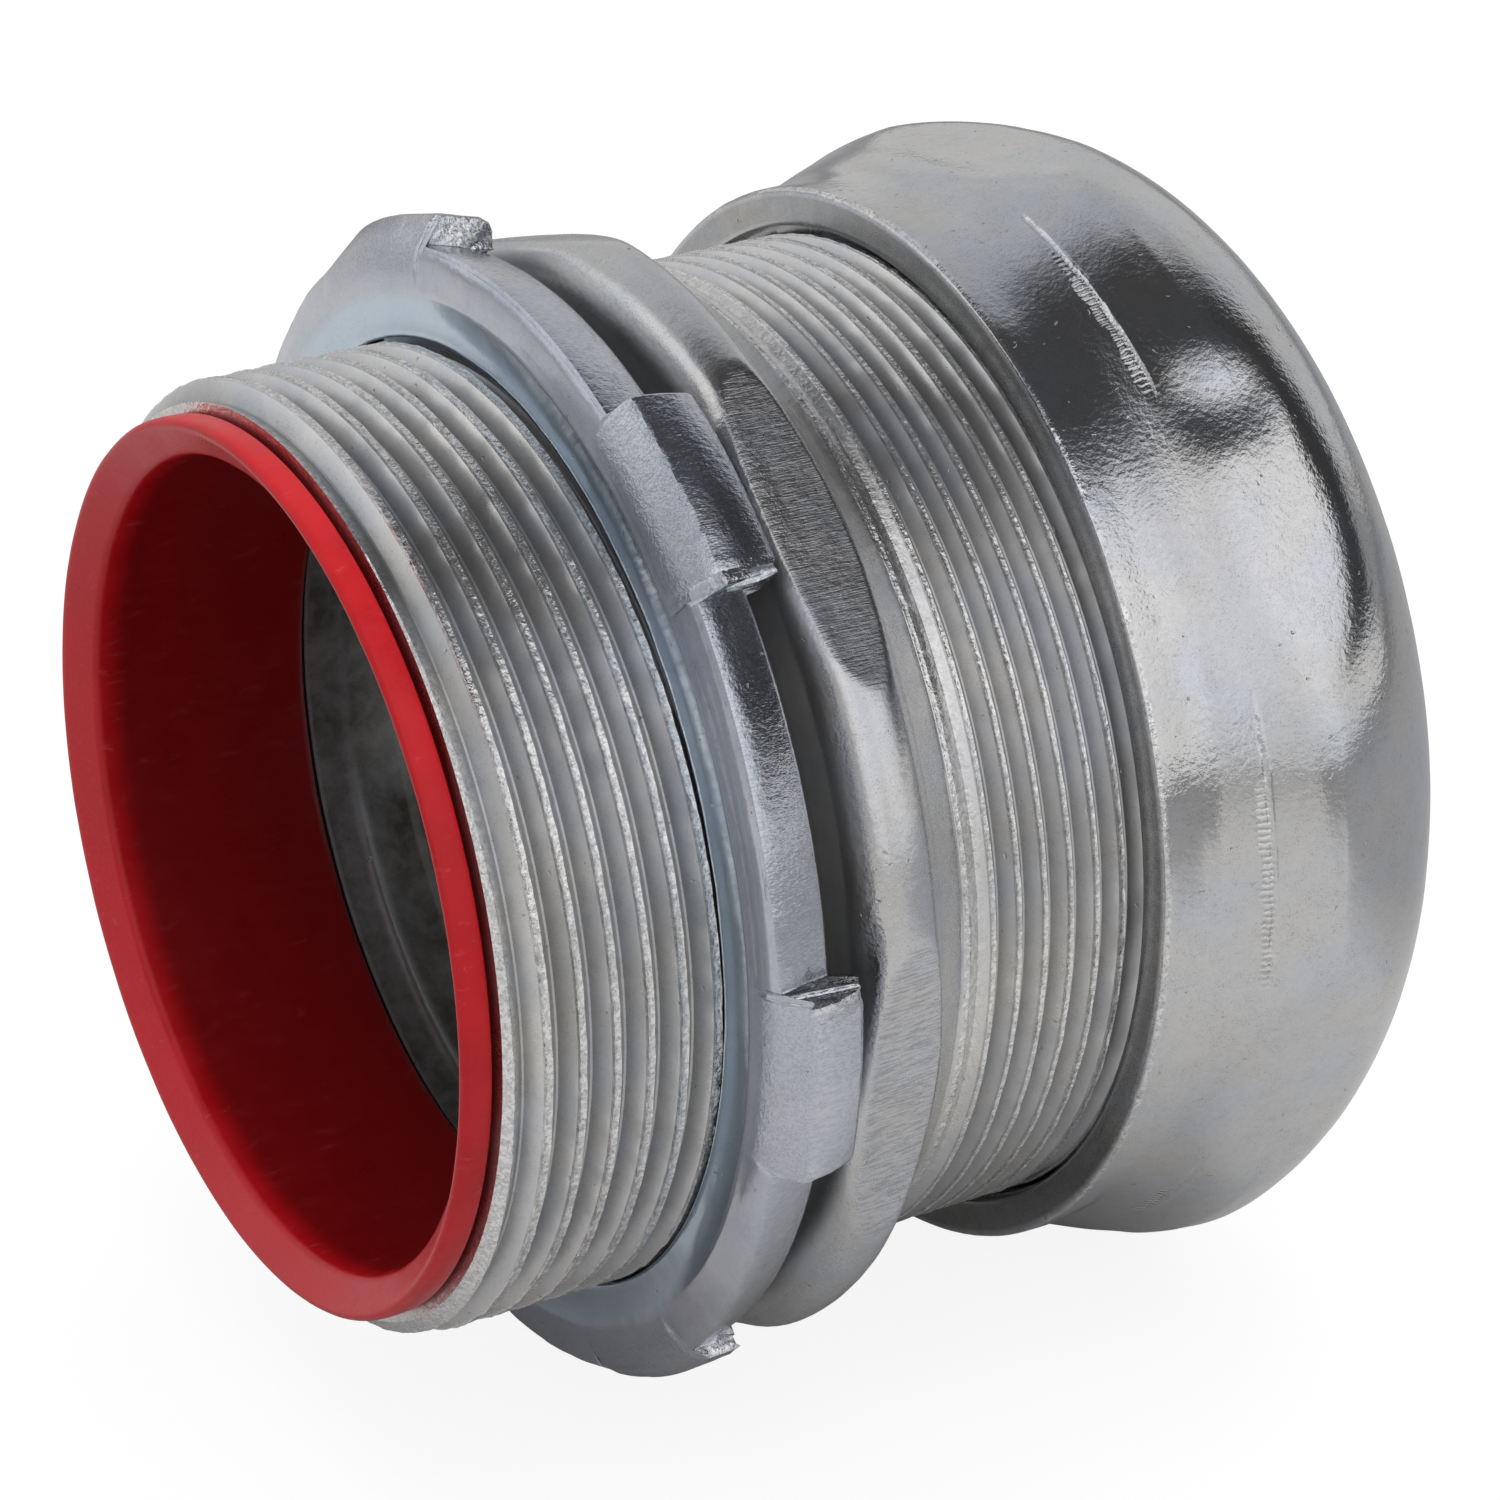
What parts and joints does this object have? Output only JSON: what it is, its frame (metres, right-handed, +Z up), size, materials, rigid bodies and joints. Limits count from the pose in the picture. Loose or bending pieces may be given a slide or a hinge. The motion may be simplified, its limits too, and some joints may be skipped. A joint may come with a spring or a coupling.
{
  "type": "conduit compression fitting",
  "caption": "Round steel compression connector for conduit: threaded nose with plastic throat, locknut, hexagonal bead flange and domed compression nut over a split ring.",
  "frame": {"origin": "on the fitting's axis, in the plane of the flange shoulder that bears on the box wall", "axes": "+X along the axis from the threaded nose towards the compression nut, the way the conduit leaves; +Z up"},
  "size_m": [0.0654, 0.074, 0.0728],
  "materials": {
    "zinc_body": "satin clear zinc plate, bright thread crests",
    "red_plastic": "glossy moulded red plastic",
    "blue_zinc": "blue-grey passivated zinc plate on a stamping",
    "zinc_nut": "bright clear zinc plate, smooth formed surface",
    "zinc_ring": "satin zinc plate"
  },
  "bodies": {
    "connector_body": {"connector_body": "zinc_body"},
    "throat_liner": {"throat_liner": "red_plastic"},
    "locknut": {"locknut": "blue_zinc"},
    "gland_ring": {"gland_ring": "zinc_ring"},
    "compression_nut": {"compression_nut": "zinc_nut"}
  },
  "joints": [
    {"name": "locknut_turn", "type": "hinge", "parent": "connector_body", "child": "throat_liner", "pos_m": [0, 0, 0], "axis": [1, 0, 0], "range_deg": [-2880, 150]},
    {"name": "locknut_travel", "type": "slide", "parent": "throat_liner", "child": "locknut", "axis": [1, 0, 0], "range_m": [-0.01767, 0.00093]},
    {"name": "gland_ring_travel", "type": "slide", "parent": "connector_body", "child": "gland_ring", "axis": [1, 0, 0], "range_m": [-0.00177, 0.01044]},
    {"name": "compression_nut_turn", "type": "hinge", "parent": "gland_ring", "child": "compression_nut", "pos_m": [0, 0, 0], "axis": [1, 0, 0], "range_deg": [-350, 2070]}
  ],
  "couplings": [
    {"joint": "locknut_travel", "follows": "locknut_turn", "m_per_rad": 0.00035152},
    {"joint": "gland_ring_travel", "follows": "compression_nut_turn", "m_per_rad": 0.00028875}
  ]
}
